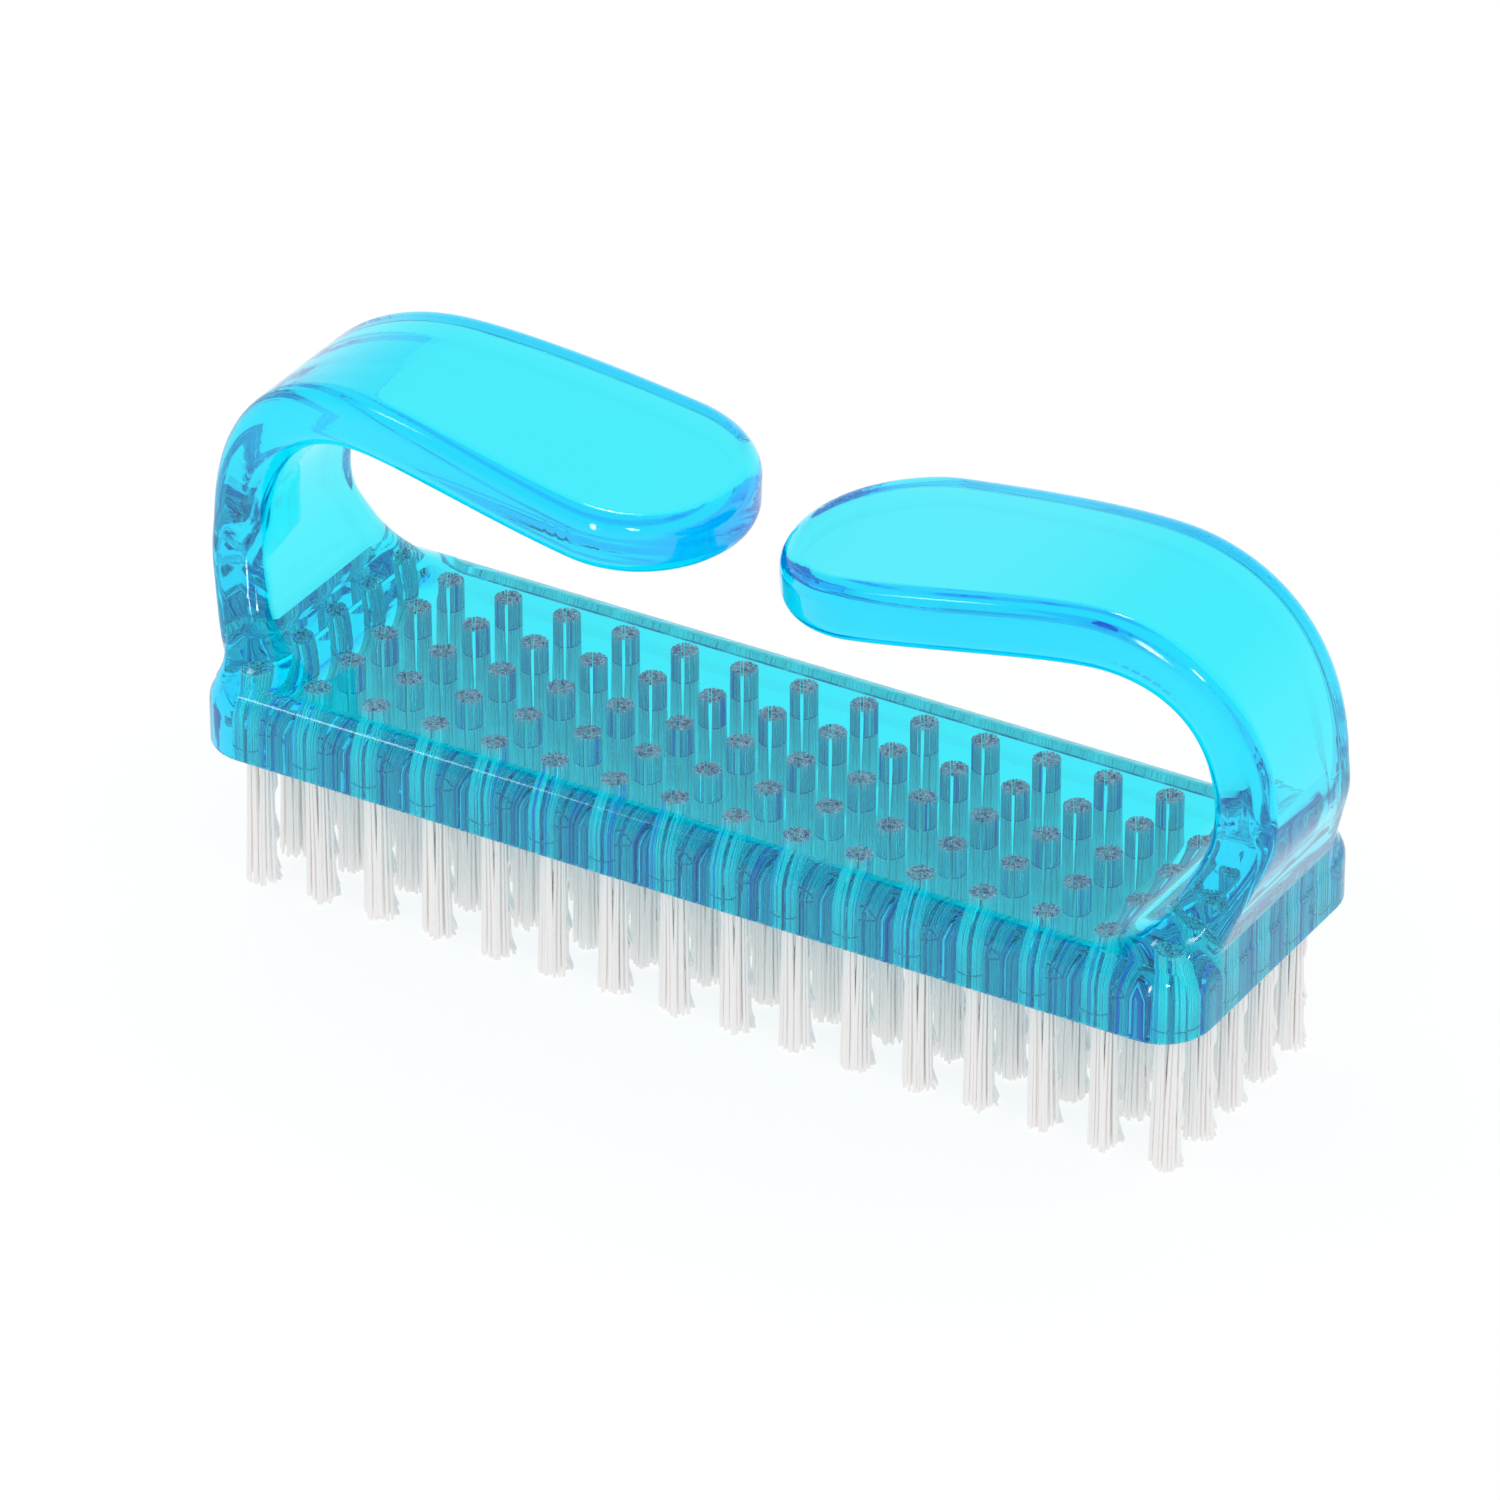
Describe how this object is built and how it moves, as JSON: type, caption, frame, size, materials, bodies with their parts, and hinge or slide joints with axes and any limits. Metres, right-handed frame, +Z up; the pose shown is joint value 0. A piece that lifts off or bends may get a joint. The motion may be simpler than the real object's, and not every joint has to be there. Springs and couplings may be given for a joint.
{
  "type": "nail dust brush",
  "caption": "Clear blue nail dust brush: a flat base set with rows of pale bristle tufts, and two arms that curl over it as a finger grip.",
  "frame": {"origin": "under the middle of the base, on the plane that the bristle tips stand on", "axes": "+X along the base from the left arm to the right arm, +Y across the base to the back, +Z up from the bristle tips to the arms"},
  "size_m": [0.097, 0.0296, 0.0462],
  "materials": {
    "clear_blue_plastic": "clear moulded plastic with a blue tint, polished",
    "white_bristle": "fine white synthetic bristle, slightly translucent"
  },
  "bodies": {
    "root": {"brush_body": "clear_blue_plastic", "tuft_row1_01": "white_bristle", "tuft_row1_02": "white_bristle", "tuft_row1_03": "white_bristle", "tuft_row1_04": "white_bristle", "tuft_row1_05": "white_bristle", "tuft_row1_06": "white_bristle", "tuft_row1_07": "white_bristle", "tuft_row1_08": "white_bristle", "tuft_row1_09": "white_bristle", "tuft_row1_10": "white_bristle", "tuft_row1_11": "white_bristle", "tuft_row1_12": "white_bristle", "tuft_row1_13": "white_bristle", "tuft_row1_14": "white_bristle", "tuft_row1_15": "white_bristle", "tuft_row1_16": "white_bristle", "tuft_row2_01": "white_bristle", "tufts_row2_02_03": "white_bristle", "tufts_row2_04_05": "white_bristle", "tufts_row2_06_07": "white_bristle", "tufts_row2_08_09": "white_bristle", "tufts_row2_10_11": "white_bristle", "tufts_row2_12_13": "white_bristle", "tufts_row2_14_15": "white_bristle", "tuft_row2_16": "white_bristle", "tuft_row3_01": "white_bristle", "tufts_row3_02_03": "white_bristle", "tufts_row3_04_05": "white_bristle", "tufts_row3_06_07": "white_bristle", "tufts_row3_08_09": "white_bristle", "tufts_row3_10_11": "white_bristle", "tufts_row3_12_13": "white_bristle", "tufts_row3_14_15": "white_bristle", "tuft_row3_16": "white_bristle", "tuft_row4_01": "white_bristle", "tufts_row4_02_03": "white_bristle", "tufts_row4_04_05": "white_bristle", "tufts_row4_06_07": "white_bristle", "tufts_row4_08_09": "white_bristle", "tufts_row4_10_11": "white_bristle", "tufts_row4_12_13": "white_bristle", "tufts_row4_14_15": "white_bristle", "tuft_row4_16": "white_bristle", "tuft_row5_01": "white_bristle", "tuft_row5_02": "white_bristle", "tuft_row5_03": "white_bristle", "tuft_row5_04": "white_bristle", "tuft_row5_05": "white_bristle", "tuft_row5_06": "white_bristle", "tuft_row5_07": "white_bristle", "tuft_row5_08": "white_bristle", "tuft_row5_09": "white_bristle", "tuft_row5_10": "white_bristle", "tuft_row5_11": "white_bristle", "tuft_row5_12": "white_bristle", "tuft_row5_13": "white_bristle", "tuft_row5_14": "white_bristle", "tuft_row5_15": "white_bristle", "tuft_row5_16": "white_bristle"}
  },
  "joints": []
}
